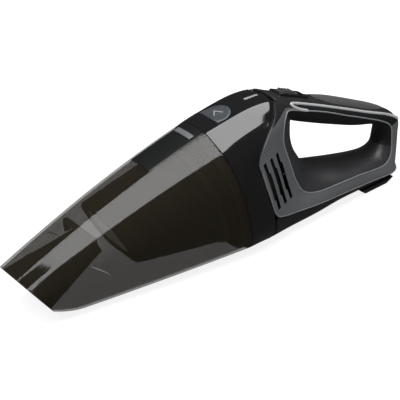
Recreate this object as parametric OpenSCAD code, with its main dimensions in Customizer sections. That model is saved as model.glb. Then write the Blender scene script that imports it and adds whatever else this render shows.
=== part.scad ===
// Cordless wet-and-dry handheld vacuum, lying on its flat base.
// Nose towards -X, handle towards +X, +Z up, origin under the middle of the object.

/* [Dust cup] */
// Nose tip, at the top of the mouth
nose_x = -199.5; // [-202:0.5:-198]
// Mouth's lower end: the mouth leans forward at the top
mouth_low_x = -175; // [-177:0.5:-171]
// Top of the seam between cup and body
seam_top_x = -12.5; // [-14:0.5:-11]
// Bottom of the same seam
seam_low_x = 8; // [6:0.5:9]
// Height of the nose tip
nose_z = 41.5; // [40:0.5:43]
// Height of the top strip's edges at the seam
seam_z = 110.5; // [109:0.5:112]
// Half width of the mouth
mouth_half = 33; // [31:0.5:35]
// Half width of the cup at the seam
seam_half = 54; // [52:0.5:56]
// Half width of the flat strip along the top, at the seam
strip_half = 16; // [14:0.5:17]
// Wall of the cup
cup_wall = 2; // [1.6:0.1:2.2]

/* [Body and handle] */
// Wall of the collar, covers and handle shells
wall = 2; // [1.6:0.1:2.2]
// Gap along the seams between pieces
seam_gap = 0.5; // [0.3:0.1:0.6]
// Diameter of the shell screws
screw_d = 2.9; // [2.5:0.1:3]

/* [Fan and motor] */
// Outer radius of the motor can
motor_r = 18; // [17:0.5:18.5]
// Outer radius of the impeller
impeller_r = 33; // [30:0.5:34]
// Radius of the motor shaft
shaft_r = 1.5; // [1.4:0.1:1.6]
// Radial clearance of a turning fit
run_gap = 0.05; // [0.03:0.01:0.08]
// Blades on the impeller
blades = 9; // [7:1:11]

/* [Battery and charging] */
// Diameter of one battery cell
cell_d = 18.5; // [18:0.1:18.6]
// Length of one battery cell
cell_len = 65; // [64:0.5:65.5]
// Radius of the charging socket's hole
jack_r = 2.75; // [2.7:0.05:2.8]

/* [Hidden] */
$fn = 48;
// The seam plane leans forward; the motor's axis is square to it
seam_lean = atan((seam_low_x - seam_top_x) / seam_z);
motor_origin = [(seam_top_x + seam_low_x) / 2, 0, 57];

// ---- points and skins ----
function lerp(a, b, t) = a + (b - a) * t;
function rest_of(v) = [for (i = [1:len(v) - 1]) v[i]];
function arc3(a, b, c, n) = [for (i = [0:n]) let (s = i / n)
    (1 - s) * (1 - s) * a + 2 * s * (1 - s) * b + s * s * c];
// Smooth curve through four points, between the middle two
function through(a, b, c, d, s) = 0.5 * (2 * b + (c - a) * s
    + (2 * a - 5 * b + 4 * c - d) * s * s + (3 * b - a - 3 * c + d) * s * s * s);
// Smooth curve through a list of points, n steps between each two
function curve(p, n, loop = false) = let (k = len(p)) [
    for (i = [0:(loop ? k - 1 : k - 2)], s = [0:n - 1])
        through(p[loop ? (i + k - 1) % k : max(i - 1, 0)], p[i], p[(i + 1) % k],
            p[loop ? (i + 2) % k : min(i + 2, k - 1)], s / n),
    if (!loop) p[k - 1]];

// Half of the housing's section, [y, z] from the top centre down to the bottom centre:
// a slightly crowned strip, a sloping facet, a curved side and a flat bottom
strip_crown = 1;
function half_section(top, low, w, strip, facet_w, facet_drop) =
    let (h = top - low, fz = top - facet_drop)
    concat([[0, top + strip_crown], [strip, top]],
        arc3([facet_w, fz], [w, fz - 0.15 * h], [w, low + 0.5 * h], 6),
        rest_of(arc3([w, low + 0.5 * h], [w, low + 0.2 * h], [0.88 * w, low + 0.13 * h], 3)),
        rest_of(arc3([0.88 * w, low + 0.13 * h], [0.76 * w, low], [0.5 * w, low], 3)),
        [[0, low]]);
// The same section, moved inwards
function inset(p, d) = let (k = len(p) - 1) [for (i = [0:k])
    let (a = i == 0 ? [-p[1][0], p[1][1]] : p[i - 1],
        b = i == k ? [-p[k - 1][0], p[k - 1][1]] : p[i + 1], t = (b - a) / norm(b - a))
    p[i] + d * [t[1], -t[0]]];
// A whole ring in a leaning plane, from the top centre round by the left side
function ring(half, xt, xl, zt, zl) = let (k = len(half) - 1,
    q = [for (p = half) [lerp(xl, xt, (p[1] - zl) / (zt - zl)), -p[0], p[1]]])
    concat(q, [for (i = [k - 1:-1:1]) [q[i][0], -q[i][1], q[i][2]]]);

// Solid between an outer grid of points and an inner one
module skin(outer, inner, round = true, loop = false) {
    ni = len(outer);
    nj = len(outer[0]);
    m = ni * nj;
    last = (ni - 1) * nj;
    li = loop ? ni : ni - 1;
    lj = round ? nj : nj - 1;
    quads = [
        for (i = [0:li - 1], j = [0:lj - 1])
            let (a = i * nj + j, b = i * nj + (j + 1) % nj,
                c = ((i + 1) % ni) * nj + (j + 1) % nj, d = ((i + 1) % ni) * nj + j)
            each [[a, b, c, d], [m + d, m + c, m + b, m + a]],
        if (!loop) for (j = [0:lj - 1]) let (b = (j + 1) % nj)
            each [[m + j, m + b, b, j], [last + j, last + b, m + last + b, m + last + j]],
        if (!round) for (i = [0:li - 1]) let (a = i * nj, b = ((i + 1) % ni) * nj)
            each [[a, b, m + b, m + a],
                [b + nj - 1, a + nj - 1, m + a + nj - 1, m + b + nj - 1]]];
    polyhedron(concat([for (r = outer) each r], [for (r = inner) each r]),
        [for (q = quads) each [[q[2], q[1], q[0]], [q[3], q[2], q[0]]]], convexity = 8);
}
// Solid loft through closed rings
module loft(rings) {
    ni = len(rings);
    nj = len(rings[0]);
    polyhedron([for (r = rings) each r], concat(
        [for (i = [0:ni - 2], j = [0:nj - 1]) let (a = i * nj + j, b = i * nj + (j + 1) % nj)
            each [[a + nj, b, a], [a + nj, b + nj, b]]],
        [[for (j = [0:nj - 1]) j], [for (j = [nj - 1:-1:0]) (ni - 1) * nj + j]]), convexity = 8);
}
// A grid moved inwards along its normals; thin gives the share of d at the first column,
// and flat keeps the last column in its own Y plane
function inner_skin(g, d, round = true, loop = false, thin = 1, flat = false, thin_end = 1) =
    let (ni = len(g), nj = len(g[0])) [for (i = [0:ni - 1]) [for (j = [0:nj - 1])
        let (i0 = loop ? (i + ni - 1) % ni : max(i - 1, 0), i1 = loop ? (i + 1) % ni : min(i + 1, ni - 1),
            j0 = round ? (j + nj - 1) % nj : max(j - 1, 0), j1 = round ? (j + 1) % nj : min(j + 1, nj - 1),
            n = cross(g[i][j1] - g[i][j0], g[i1][j] - g[i0][j]),
            f = flat && j == nj - 1 ? [n[0], 0, n[2]] : n,
            t = j == 0 ? thin : j == nj - 1 ? thin_end : 1)
        g[i][j] - t * d * f / norm(f)]];

module along_motor(s = 0) translate(motor_origin) rotate([0, -seam_lean, 0]) translate([s, 0, 0])
    rotate([0, 90, 0]) children();

// ---- dust cup ----
cup_steps = 14;
function cup_top(t) = lerp(nose_z, seam_z, t) + 19.2 * t * (1 - t);
function cup_low(t) = 7 * pow(max(0, 1 - t / 0.16), 2);
function cup_half(t) = lerp(mouth_half, seam_half, 1.45 * t - 0.45 * t * t);
function cup_section(t) = half_section(cup_top(t), cup_low(t), cup_half(t),
    lerp(strip_half - 1, strip_half, t), lerp(22.5, 34.5, t), lerp(5.5, 11.7, t));
function cup_ring(t, d, dx = 0) = ring(inset(cup_section(t), d), lerp(nose_x, seam_top_x, t) + dx,
    lerp(mouth_low_x, seam_low_x, t) + dx, cup_top(t), cup_low(t));
module dust_cup() color([0.25, 0.22, 0.2, 0.6]) skin(
    [for (i = [0:cup_steps]) cup_ring(i / cup_steps, 0)],
    [for (i = [0:cup_steps]) cup_ring(i / cup_steps, cup_wall)]);

// ---- intake duct and its flap ----
duct_wall = 1.6;
duct_end = [-130, -124];
duct_end_z = [53, 39];
flap_axis = [-131, 0, 56.6];
flap_lean = -23.2;
pin_r = 1.2;
function duct_ring(t, d) = let (top = lerp(nose_z - cup_wall - 0.1, duct_end_z[0], t),
    low = lerp(7 + cup_wall + 0.1, duct_end_z[1], t))
    ring(inset(half_section(top, low, lerp(mouth_half - cup_wall - 0.1, 22, t), lerp(13.5, 12, t),
        lerp(20.6, 17, t), lerp(5.4, 3.5, t)), d), lerp(nose_x + 2.2, duct_end[0], t),
        lerp(mouth_low_x - 1.2, duct_end[1], t), top, low);
module intake_duct() color([0.08, 0.08, 0.08]) {
    skin([for (i = [0:6]) duct_ring(i / 6, 0)], [for (i = [0:6]) duct_ring(i / 6, duct_wall)]);
    for (s = [-1, 1]) translate([flap_axis[0], s * 22 - 1, 0]) difference() {
        translate([-3, 0, 47]) cube([6, 2, 12]);
        translate([0, -1, flap_axis[2]]) rotate([-90, 0, 0]) cylinder(r = pin_r, h = 4);
    }
}
module flap_pin() color("silver") translate(flap_axis) rotate([90, 0, 0])
    cylinder(r = pin_r, h = 48, center = true);
module intake_flap() color([0.12, 0.12, 0.12]) difference() {
    union() {
        translate(flap_axis) rotate([90, 0, 0]) cylinder(r = 2.6, h = 40, center = true);
        translate(flap_axis) rotate([0, flap_lean, 0]) translate([0.2, -20, -18]) cube([1.6, 40, 18]);
    }
    translate(flap_axis) rotate([90, 0, 0]) cylinder(r = pin_r + run_gap, h = 50, center = true);
}

// ---- filter ----
filter_front = [-120, -93];
filter_front_z = [73, 19];
filter_back_z = [97, 12];
function filter_ring(t, d) = let (top = lerp(filter_front_z[0], filter_back_z[0], pow(t, 0.9)),
    low = lerp(filter_front_z[1], filter_back_z[1], t))
    ring(inset(half_section(top, low, lerp(30, 47, pow(t, 0.7)), lerp(12, 14, t), lerp(19, 34, t),
        lerp(5, 9, t)), d), lerp(filter_front[0], seam_top_x + 1, t),
        lerp(filter_front[1], seam_low_x - 1, t), top, low);
// Shares of the frame's depth, and its wall there: thick round the front window
filter_steps = [[0, 7], [0.03, 7], [0.031, 1.8], [0.15, 1.8], [0.32, 1.8], [0.5, 1.8], [0.67, 1.8],
    [0.78, 1.8], [0.83, 1.8], [1, 1.8]];
module filter_frame() color([0.1, 0.1, 0.1]) skin([for (s = filter_steps) filter_ring(s[0], 0)],
    [for (s = filter_steps) filter_ring(s[0], s[1])]);
module filter_cloth() color([0.75, 0.75, 0.72])
    loft([for (t = [0.032, 0.055]) filter_ring(t, 2)]);
module filter_seal() color([0.15, 0.15, 0.15])
    skin([for (t = [0.78, 0.83]) filter_ring(t, -1.6)], [for (t = [0.78, 0.83]) filter_ring(t, -0.02)]);

// ---- collar round the motor ----
// Where each point of the seam section arrives at the collar's rear edge
collar_rear = [[61, 0, 120.5], [60, 17, 118.5], [50, 28.5, 109.5], [38, 36.9, 102.8], [27, 42.6, 93.8],
    [19.5, 46, 84], [20, 47.6, 76], [22, 49.1, 64], [25.5, 50, 50], [30, 49.7, 36],
    [33, 48, 24], [34.5, 45, 15], [35.5, 40.5, 6.8], [36, 34.5, 1.8], [36, 27, 0], [36, 0, 0]];
// How far the collar bulges off the straight line, out and up: the top more towards the rear
function bulge(j, s) = 4 * s * (1 - s) * (j < 2 ? [0, 0, (j == 0 ? 2.6 : 4) * (0.55 + 1.05 * s)]
    : j == 2 ? [0, 1, 3] : j < 12 ? [0, 1.2, 0.5] : [0, 0, 0]);
collar_steps = 8;
function collar_ring(s) = let (a = cup_section(1), k = len(a) - 1,
    q = [for (j = [0:k]) let (
        x0 = lerp(seam_low_x, seam_top_x, a[j][1] / seam_z) + seam_gap,
        p = lerp([x0, a[j][0], a[j][1]], collar_rear[j] - [seam_gap, 0, 0], s) + bulge(j, s))
        [p[0], -p[1], p[2]]])
    concat(q, [for (i = [k - 1:-1:1]) [q[i][0], -q[i][1], q[i][2]]]);
collar_skin = [for (i = [0:collar_steps]) collar_ring(i / collar_steps)];
// The inner face, with the wall thinned at the rear edge to clear the handle shells
collar_inner = let (g = inner_skin(collar_skin, wall)) [for (i = [0:collar_steps]) i < collar_steps ? g[i]
    : [for (j = [0:len(g[i]) - 1]) lerp(g[i][j], collar_skin[i][j], 0.6)]];

// Release button: straight front edge, round back
button_place = [2, 0, 112.9];
button_tilt = -12;
module button_outline(grow = 0) polygon([[-grow, -14 - grow], [7, -14 - grow],
    for (a = [-80:10:80]) [7 + (14 + grow) * cos(a), (14 + grow) * sin(a)],
    [7, 14 + grow], [-grow, 14 + grow]]);
module on_button() translate(button_place) rotate([0, button_tilt, 0]) children();

led_x = [39, 53];
led_half = 1.6;
module led_block(grow, low, high) translate([led_x[0] - grow, -led_half - grow, low])
    cube([led_x[1] - led_x[0] + 2 * grow, 2 * (led_half + grow), high]);
module motor_collar() color([0.03, 0.03, 0.03]) difference() {
    skin(collar_skin, collar_inner);
    on_button() translate([0, 0, -6]) linear_extrude(14) button_outline(0.6);
    led_block(0.1, 110, 20);
}
module led_lens() color([0.8, 0.82, 0.84]) led_block(0, 116, 5);

// ---- front bulkhead: the spigot that the cup slides over, with the fan's inlet ----
// It follows the cup's taper for 8 mm in front of the seam, then runs straight back
spigot_inset = cup_wall + 1.2;
spigot_steps = [[0.957, 0], [0.98, 0], [1, 0], [1, 4]];
function spigot(d) = [for (s = spigot_steps) cup_ring(s[0], d, s[1])];
module front_bulkhead() color([0.1, 0.1, 0.1]) difference() {
    union() {
        skin(spigot(spigot_inset), spigot(spigot_inset + 1.8));
        loft([for (x = [3, 5.5]) cup_ring(1, spigot_inset, x)]);
    }
    along_motor(-2) cylinder(r = 15, h = 16);
    translate([-20, -7, 99.5]) cube([30, 14, 6.5]);
}
module cup_seal() color([0.05, 0.05, 0.05]) skin(
    [for (t = [0.964, 0.98]) cup_ring(t, spigot_inset - 0.85)],
    [for (t = [0.964, 0.98]) cup_ring(t, spigot_inset - 0.02)]);

// ---- fan and motor, along the motor's axis ----
housing_r = 37;
fan_s = [10, 26];
can_s = [29, 68];
module fan_housing() color([0.14, 0.14, 0.14]) along_motor(fan_s[0]) difference() {
    cylinder(r = housing_r, h = fan_s[1] - fan_s[0]);
    translate([0, 0, 1.6]) cylinder(r = housing_r - 1.8, h = fan_s[1] - fan_s[0] - 3.2);
    translate([0, 0, -1]) cylinder(r = 15, h = 4);
    translate([0, 0, 10]) cylinder(r = 6, h = 10);
    for (i = [0:11]) rotate([0, 0, i * 30]) translate([27, -3, 8]) cube([7, 6, 12]);
}
module impeller() color([0.85, 0.85, 0.82]) along_motor(13) difference() {
    union() {
        translate([0, 0, 8]) cylinder(r = impeller_r, h = 1.4);
        cylinder(r = 5, h = 9);
        for (i = [0:blades - 1]) rotate([0, 0, i * 360 / blades]) translate([15, -0.6, 0.5])
            rotate([0, 0, 28]) cube([impeller_r - 17, 1.2, 8]);
    }
    translate([0, 0, -1]) cylinder(r = shaft_r, h = 12);
}
module motor_shaft() color("silver") along_motor(13) cylinder(r = shaft_r, h = 59);
module motor_rotor() color([0.72, 0.45, 0.2]) along_motor(36) difference() {
    cylinder(r = 13.6, h = 26);
    translate([0, 0, -1]) cylinder(r = shaft_r, h = 28);
    for (i = [0:4]) rotate([0, 0, i * 72]) translate([10, -1.2, -1]) cube([5, 2.4, 28]);
}
module motor_can() color([0.7, 0.7, 0.72]) along_motor(can_s[0]) difference() {
    cylinder(r = motor_r, h = can_s[1] - can_s[0]);
    translate([0, 0, 1.6]) cylinder(r = motor_r - 1.2, h = can_s[1] - can_s[0]);
    translate([0, 0, -1]) cylinder(r = 4, h = 4);
}
module motor_end_cap() color([0.1, 0.1, 0.1]) along_motor(can_s[1]) difference() {
    union() {
        cylinder(r = motor_r, h = 3);
        translate([0, 0, -3]) cylinder(r = motor_r - 1.25, h = 4);
    }
    translate([0, 0, -4]) cylinder(r = 4, h = 9);
}
module motor_magnets() color([0.25, 0.25, 0.27]) along_motor(can_s[0] + 5) intersection() {
    difference() {
        cylinder(r = motor_r - 1.25, h = 30);
        translate([0, 0, -1]) cylinder(r = 14.2, h = 32);
    }
    for (s = [-1, 1]) translate([s * 15 - 10, -12, 0]) cube([20, 24, 30]);
}
module motor_bushes() color("goldenrod") {
    for (s = [can_s[0] - 0.4, can_s[1] - 1]) along_motor(s) difference() {
        cylinder(r = 3.98, h = 4);
        translate([0, 0, -1]) cylinder(r = shaft_r + run_gap, h = 6);
    }
}
module motor_mount() color([0.06, 0.06, 0.06]) along_motor(34) difference() {
    cylinder(r = motor_r + 4, h = 9);
    translate([0, 0, -1]) cylinder(r = motor_r + 0.02, h = 11);
    for (i = [0:7]) rotate([0, 0, i * 45]) translate([motor_r + 2, -2, -1]) cube([4, 4, 11]);
}

// ---- handle: each row is outer edge, edge of the finger opening, inner crown ----
handle_rows = [
    [[60, 17, 118.5], [70, 22, 107.5], [82, 0, 89]],
    [[76, 16.5, 111.5], [86, 20.5, 102], [88, 0, 85.5]],
    [[104, 16, 100], [110, 20, 93], [108, 0, 77]],
    [[132, 16, 88], [133.5, 19.5, 82], [130, 0, 68.5]],
    [[161, 15, 75], [157.5, 18, 71], [152, 0, 60.5]],
    [[187, 12.5, 63.5], [178, 15.5, 60.5], [171, 0, 56]],
    [[199.3, 12, 54.5], [189.5, 13, 51], [180, 0, 52]],
    [[198.3, 12.5, 42], [189.5, 14, 38], [184, 0, 44]],
    [[195, 14.5, 27], [186.5, 16, 25], [181, 0, 35]],
    [[190.5, 18, 16.5], [178, 19, 19], [173, 0, 30]],
    [[186, 21.5, 9], [164, 22, 19.5], [160, 0, 29]],
    [[153.5, 26.5, 11.4], [143, 25.5, 22.5], [140, 0, 31]],
    [[120.5, 31, 13.7], [117, 29, 24.5], [120, 0, 36]],
    [[88, 36.5, 16.6], [92, 30.5, 25.5], [102, 0, 41.5]],
    [[62, 41, 20.5], [76, 30.5, 31], [92, 0, 46.5]],
    [[44, 45.5, 24], [68, 30.5, 44], [87, 0, 56]],
    [[32, 49, 30], [64, 30.5, 57], [82, 0, 65]],
    [[25.5, 50, 50], [60, 30.5, 71], [79.3, 0, 73.5]],
    [[21, 48.5, 70], [57, 30.2, 83], [79, 0, 79.5]],
    [[19.5, 46, 84], [57.5, 29.5, 91.5], [79.3, 0, 84]],
    [[34, 39.5, 100], [60, 27.5, 98.5], [80, 0, 87]],
    [[50, 28.5, 109.5], [64, 24.8, 104.5], [80.5, 0, 88.5]]];
// The side meets the opening in a crease: the round towards the crown starts at this angle
crease = 35;
handle_edge = [for (c = [0:2]) curve([for (r = handle_rows) r[c]], 2, true)];
// From the outer edge, less the seam's gap, across the flat side, then round to the crown
function handle_line(u) = let (o = handle_edge[0][u], n = handle_edge[1][u], c = handle_edge[2][u])
    [for (v = [0:2]) let (s = lerp(seam_gap / norm(n - o), 1, v / 3), p = lerp(o, n, s))
        [p[0], -p[1] - 3 * s * (1 - s), p[2]],
     for (k = [0:5]) let (a = lerp(crease, 90, k / 5), f = (sin(a) - sin(crease)) / (1 - sin(crease)))
        [lerp(n[0], c[0], f), -max(0.05, n[1] * cos(a) / cos(crease)), lerp(n[2], c[2], f)]];
handle_skin = [for (u = [0:len(handle_edge[0]) - 1]) handle_line(u)];

// Air outlets in each side, all leaning the same way: x at the middle, z at the middle
vents = [[31.5, 57], [41, 57.5], [50, 58]];
vent_lean = -12.5;
vent_len = 46;
vent_wide = 4.6;
// Each screw: x, z, and how far out its head sits
screws = [[63, 32, 20], [171, 14.5, 20], [46, 93.5, 20], [194.5, 50, 10]];
module handle_half() difference() {
    skin(handle_skin, inner_skin(handle_skin, wall, round = false, loop = true, thin = 0.4, flat = true),
        round = false, loop = true);
    for (v = vents) translate([v[0], -60, v[1]]) rotate([0, vent_lean + 180, 0])
        translate([-vent_wide / 2, 0, -vent_len / 2]) cube([vent_wide, 35, vent_len]);
}
module handle_left_shell() color([0.27, 0.28, 0.3]) handle_half();
module handle_right_shell() color([0.27, 0.28, 0.3]) difference() {
    mirror([0, 1, 0]) handle_half();
    for (s = screws) translate([s[0], 60, s[1]]) rotate([90, 0, 0]) cylinder(r = 3, h = 50);
}
module shell_screws() color([0.5, 0.5, 0.52]) for (s = screws)
    translate([s[0], s[2], s[1]]) rotate([90, 0, 0]) {
        cylinder(r = 2.7, h = 2.2);
        translate([0, 0, 2]) cylinder(d = screw_d, h = 16);
    }

// ---- spine over the handle and down the rear wall ----
spine_mid = [[61, 0, 120.3], [77, 0, 115], [105, 0, 104], [134, 0, 92.3], [162, 0, 79.5],
    [188, 0, 67], [199.8, 0, 57.5], [200.4, 0, 45], [197.3, 0, 29], [193, 0, 17.5], [188.5, 0, 5.4]];
spine_line = curve(spine_mid, 2);
spine_inset = 0.8;
// Across the strip, a parabola from the middle down to each edge
function spine_point(u, f, up = 0) = let (c = spine_line[u], e = handle_edge[0][u],
    w = e[1] - spine_inset) [lerp(c[0], e[0], f * f), w * f, lerp(c[2], e[2], f * f) + up];
spine_skin = [for (u = [0:len(spine_line) - 1]) [for (f = [1:-0.25:-1]) spine_point(u, f)]];
switch_place = [86, 0, 111.6];
switch_tilt = 21.5;
bezel_x = [-16, 17];
bezel_half = 8.5;
module bezel_block(grow, low, high) translate([bezel_x[0] - grow, -bezel_half - grow, low])
    cube([bezel_x[1] - bezel_x[0] + 2 * grow, 2 * (bezel_half + grow), high]);
module on_switch() translate(switch_place) rotate([0, switch_tilt, 0]) children();
jack_place = [194.8, 0, 22.4];
jack_tilt = 111;
module on_jack() translate(jack_place) rotate([0, jack_tilt, 0]) children();
module spine_cover() color([0.05, 0.05, 0.05]) difference() {
    skin(spine_skin, inner_skin(spine_skin, wall, round = false, thin = 0.4, thin_end = 0.4),
        round = false);
    on_switch() bezel_block(0.1, -10, 30);
    on_jack() translate([0, 0, -10]) cylinder(r = 4.3, h = 20);
}
// Soft strip let into the top of the grip, narrower at its ends
inlay_first = 4;
inlay_last = 10;
function inlay_grid(low, swell) = [for (u = [inlay_first:inlay_last])
    let (k = u == inlay_first || u == inlay_last ? 0.55 : 0.8)
    [for (f = [1:-0.25:-1]) spine_point(u, f * k, low + swell * (1 - f * f * f * f))]];
module grip_inlay() color([0.04, 0.04, 0.04]) skin(inlay_grid(0.3, 1.4), inlay_grid(0.1, 0), round = false);

// ---- base cover and foot ----
// Each row: x of the upper edge, its half width and height, then x and height of the bottom
base_rows = [[33, 48.4, 26.8, 36.5, 0], [44, 45.2, 23.3, 46, 0], [62, 40.8, 19.8, 62, 0],
    [88, 36.2, 15.9, 88, 0.8], [106, 33, 14.1, 106, 2.4], [120, 30.7, 12.9, 120, 3.6],
    [136, 28.6, 11.8, 136, 4], [151, 26.4, 10.8, 151, 4], [168, 24, 9.5, 169, 4],
    [184.8, 21.2, 8.2, 185.9, 4.6]];
function base_half(r) = let (w = r[1], e = [r[0], w, r[2]], low = [r[3], 0.52 * w, r[4]],
    ctl = [lerp(r[0], r[3], 0.7), 0.93 * w, lerp(r[4], r[2], 0.06)])
    concat(arc3(e, ctl, low, 4), [[r[3], 0, r[4]]]);
function base_line(r) = let (h = base_half(r)) concat([for (p = h) [p[0], -p[1], p[2]]],
    [for (i = [len(h) - 2:-1:0]) h[i]]);
base_skin = [for (r = base_rows) base_line(r)];
module base_cover() color([0.05, 0.05, 0.05]) skin(base_skin,
    inner_skin(base_skin, wall, round = false, thin = 0.3, thin_end = 0.3), round = false);
// The foot's side profile, and its half width at the front and at the rear
foot_profile = [[144.5, 3.6], [149.5, 0], [176.5, 0], [186, 3.7]];
foot_half = [25, 20.5];
module rear_foot() color([0.03, 0.03, 0.03]) loft([for (s = [-1, 1]) [for (p = foot_profile)
    [p[0], s * lerp(foot_half[0], foot_half[1], (p[0] - 144.5) / 41.5), p[1]]]]);

// ---- battery, board and socket ----
cell_x = 94;
cell_z = 15.7;
module at_cells() for (s = [-1, 1]) translate([cell_x, s * (cell_d / 2 + 0.3), cell_z])
    rotate([0, 90, 0]) children();
module battery_cells() color([0.15, 0.45, 0.3]) at_cells() {
    cylinder(d = cell_d, h = cell_len);
    translate([0, 0, cell_len]) cylinder(r = 3, h = 0.9);
}
module battery_holder() color([0.2, 0.2, 0.2]) difference() {
    translate([cell_x - 1, 0, 0]) rotate([90, 0, 90]) linear_extrude(cell_len + 2)
        polygon([for (p = [[-16, -9.3], [16, -9.3], [20.5, -6.5], [20.5, -0.4], [-20.5, -0.4],
            [-20.5, -6.5]]) [p[0], cell_z + p[1]]]);
    at_cells() translate([0, 0, -2]) cylinder(d = cell_d + 0.1, h = cell_len + 5);
    translate([cell_x + 8, -30, cell_z - 10]) cube([cell_len - 16, 60, 3.5]);
}
module battery_tabs() color([0.75, 0.75, 0.7]) {
    translate([cell_x + cell_len + 1.05, -14, cell_z - 4]) cube([0.3, 28, 8]);
    for (s = [-1, 1]) translate([cell_x - 0.35, s * 9.6 - 4, cell_z - 4]) cube([0.3, 8, 14]);
}
module circuit_board() color([0.05, 0.35, 0.15]) {
    translate([42, -20, 9]) cube([46, 40, 1.6]);
    for (p = [[46, -14], [60, 2], [72, -10]]) translate([p[0], p[1], 10.5]) cube([9, 7, 3]);
    translate([64, 14, 10.5]) cylinder(r = 4, h = 9);
}
module charge_jack() color([0.1, 0.1, 0.1]) on_jack() {
    difference() {
        translate([0, 0, -12]) cylinder(r = 4.15, h = 12.3);
        translate([0, 0, -9]) cylinder(r = jack_r, h = 12);
    }
    translate([0, 0, -10]) cylinder(r = 0.9, h = 8.6);
}

// ---- power switch ----
module switch_bezel() color([0.04, 0.04, 0.04]) on_switch() difference() {
    bezel_block(0, -3.2, 4.1);
    translate([-13, -6.3, -5]) cube([26.5, 12.6, 10]);
}
module power_switch() color([0.06, 0.06, 0.06]) on_switch() {
    translate([-11.5, -5.8, -1]) cube([18, 11.6, 3.2]);
    for (x = [-8, -3.2, 1.6]) translate([x, -5.4, 2.1]) cube([1.8, 10.8, 1.3]);
    translate([-4, -2, -4.6]) cube([4, 4, 4]);
}
module switch_module() color([0.12, 0.12, 0.12]) on_switch() difference() {
    translate([-10, -6.5, -14]) cube([24, 13, 10]);
    translate([-6, -2.6, -6]) cube([14, 5.2, 5]);
}

// ---- release latch ----
latch_axis = [27, 0, 113.5];
latch_width = 10;
module release_button() color([0.25, 0.27, 0.3]) on_button() {
    translate([0, 0, -2.6]) linear_extrude(5) button_outline();
    translate([3, -4, -5.8]) cube([8, 8, 3.8]);
}
module latch_hook() color([0.12, 0.12, 0.12]) difference() {
    union() {
        translate([0, latch_width / 2, 0]) rotate([90, 0, 0]) linear_extrude(latch_width)
            polygon([[27, 110.6], [27, 116.4], [24.5, 115.2], [17.5, 109.2], [5, 107.2], [-14, 104.4],
                [-26, 102.9], [-26, 104.6], [-29, 103.8], [-30.5, 100.6], [-14, 102], [8, 104.2],
                [20, 106.4]]);
        translate(latch_axis) rotate([90, 0, 0]) cylinder(r = 3, h = latch_width, center = true);
    }
    translate(latch_axis) rotate([90, 0, 0]) cylinder(r = 1.5 + run_gap, h = 30, center = true);
}
module latch_pin() color("silver") translate(latch_axis) rotate([90, 0, 0])
    cylinder(r = 1.5, h = 25, center = true);
module latch_bracket() color([0.15, 0.15, 0.15]) for (s = [-1, 1]) difference() {
    translate([latch_axis[0] - 3.5, s * 10 - 1.5, 104]) cube([9, 3, 12.5]);
    translate(latch_axis) rotate([90, 0, 0]) cylinder(r = 1.52, h = 40, center = true);
}
module release_spring() color([0.7, 0.7, 0.7]) {
    for (i = [0:2]) translate([latch_axis[0], 6 + i * 0.8, latch_axis[2]]) rotate([90, 0, 0])
        rotate_extrude() translate([2.1, 0]) circle(r = 0.42, $fn = 16);
    translate(latch_axis + [2.1, 7.6, 0]) rotate([180, 0, 0]) cylinder(r = 0.4, h = 8, $fn = 16);
}

// ---- exhaust foam behind the vents, sloping with the shells ----
foam_place = [25.5, 40.5, 57];
foam_turn = 28;
module exhaust_foam() color([0.2, 0.2, 0.2]) for (s = [0, 1]) mirror([0, s, 0])
    translate(foam_place) rotate([0, vent_lean, -foam_turn]) translate([0, -3, -20]) cube([29, 3, 40]);

dust_cup();
intake_duct();
flap_pin();
intake_flap();
filter_frame();
filter_cloth();
filter_seal();
motor_collar();
front_bulkhead();
cup_seal();
fan_housing();
impeller();
motor_shaft();
motor_rotor();
motor_can();
motor_end_cap();
motor_magnets();
motor_bushes();
motor_mount();
handle_left_shell();
handle_right_shell();
spine_cover();
grip_inlay();
base_cover();
rear_foot();
battery_cells();
battery_holder();
battery_tabs();
circuit_board();
charge_jack();
led_lens();
switch_bezel();
power_switch();
switch_module();
release_button();
latch_hook();
latch_pin();
latch_bracket();
release_spring();
exhaust_foam();
shell_screws();
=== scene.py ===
import math

import bmesh
import bpy
import numpy as np
from mathutils import Matrix, Vector


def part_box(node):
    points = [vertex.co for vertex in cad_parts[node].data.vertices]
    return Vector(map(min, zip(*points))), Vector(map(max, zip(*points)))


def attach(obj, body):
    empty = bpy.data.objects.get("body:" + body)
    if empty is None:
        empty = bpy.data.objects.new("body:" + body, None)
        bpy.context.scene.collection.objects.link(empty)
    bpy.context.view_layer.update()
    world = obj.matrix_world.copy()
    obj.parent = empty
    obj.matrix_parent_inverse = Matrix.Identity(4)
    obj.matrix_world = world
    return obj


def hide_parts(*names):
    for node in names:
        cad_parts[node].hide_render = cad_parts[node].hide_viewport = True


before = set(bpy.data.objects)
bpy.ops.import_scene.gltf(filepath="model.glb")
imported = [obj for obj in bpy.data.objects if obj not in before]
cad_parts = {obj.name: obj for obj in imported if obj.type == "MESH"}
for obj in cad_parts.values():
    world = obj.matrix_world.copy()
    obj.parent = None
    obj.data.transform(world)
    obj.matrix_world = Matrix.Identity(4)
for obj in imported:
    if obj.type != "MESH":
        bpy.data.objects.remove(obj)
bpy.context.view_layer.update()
MM = 0.001

# ---- driving sizes, in millimetres, as the design has them ----
cup_low_corner, cup_high_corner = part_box("dust_cup")
NOSE_X = cup_low_corner.x / MM + 0.71
MOUTH_LOW_X = NOSE_X + 24.5
SEAM_TOP_X = NOSE_X + 187
SEAM_LOW_X = cup_high_corner.x / MM
NOSE_Z = 41.5
CROWN = 1
SEAM_Z = cup_high_corner.z / MM - CROWN
SEAM_HALF = cup_high_corner.y / MM
MOUTH_HALF = 33
STRIP_HALF = 16
CUP_WALL = 2
WALL = 2
SEAM_GAP = 0.5
MOUTH_LIFT = 7


# ---- curves and sections ----
def lerp(a, b, t):
    """From a at t = 0 to b at t = 1 in a straight line."""
    return np.asarray(a, float) + (np.asarray(b, float) - np.asarray(a, float)) * t


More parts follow.
